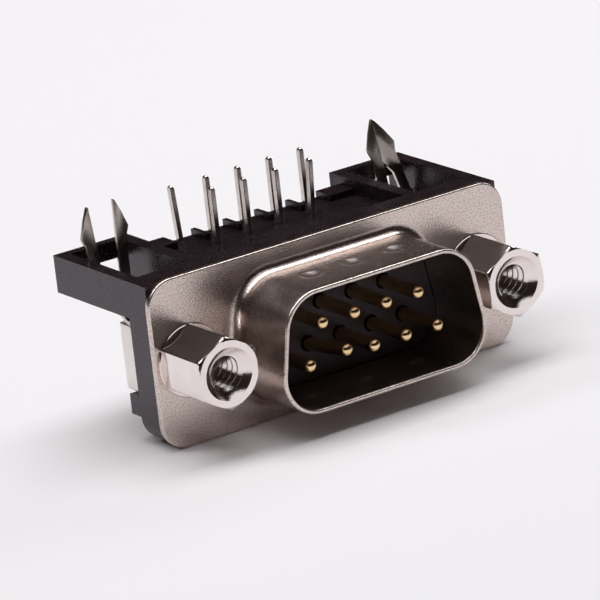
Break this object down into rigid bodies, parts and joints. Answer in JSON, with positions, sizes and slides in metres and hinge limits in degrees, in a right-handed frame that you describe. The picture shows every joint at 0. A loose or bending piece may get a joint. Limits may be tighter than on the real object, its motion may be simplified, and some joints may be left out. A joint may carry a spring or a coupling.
{
  "type": "d-sub connector",
  "caption": "Right-angle male D-sub connector for a circuit board, with a steel shell, jackscrews, gold pins and board locks.",
  "frame": {"origin": "centre of the flange's front face, midway between the two jackscrews", "axes": "+X along the flange, +Y back into the housing, +Z towards the circuit board"},
  "size_m": [0.0308, 0.0187, 0.0161],
  "materials": {
    "shell_steel": "tin or nickel plated, satin with fine speckle",
    "insulator_plastic": "fine grained moulding",
    "bracket_plastic": "fine grained moulding",
    "contact_metal": "gold on the pin, bright tin on the tail",
    "jackscrew_steel": "bright nickel, turned and drawn",
    "nut_tin": "dull bright tin",
    "lock_tin": "dull bright tin"
  },
  "bodies": {
    "root": {"front_shell": "shell_steel", "insulator": "insulator_plastic", "bracket": "bracket_plastic", "contact_1": "contact_metal", "contact_2": "contact_metal", "contact_3": "contact_metal", "contact_4": "contact_metal", "contact_5": "contact_metal", "contact_6": "contact_metal", "contact_7": "contact_metal", "contact_8": "contact_metal", "contact_9": "contact_metal", "jackscrew_left": "jackscrew_steel", "jackscrew_right": "jackscrew_steel", "nut_left": "nut_tin", "nut_right": "nut_tin", "boardlock_left": "lock_tin", "boardlock_right": "lock_tin"}
  },
  "joints": []
}
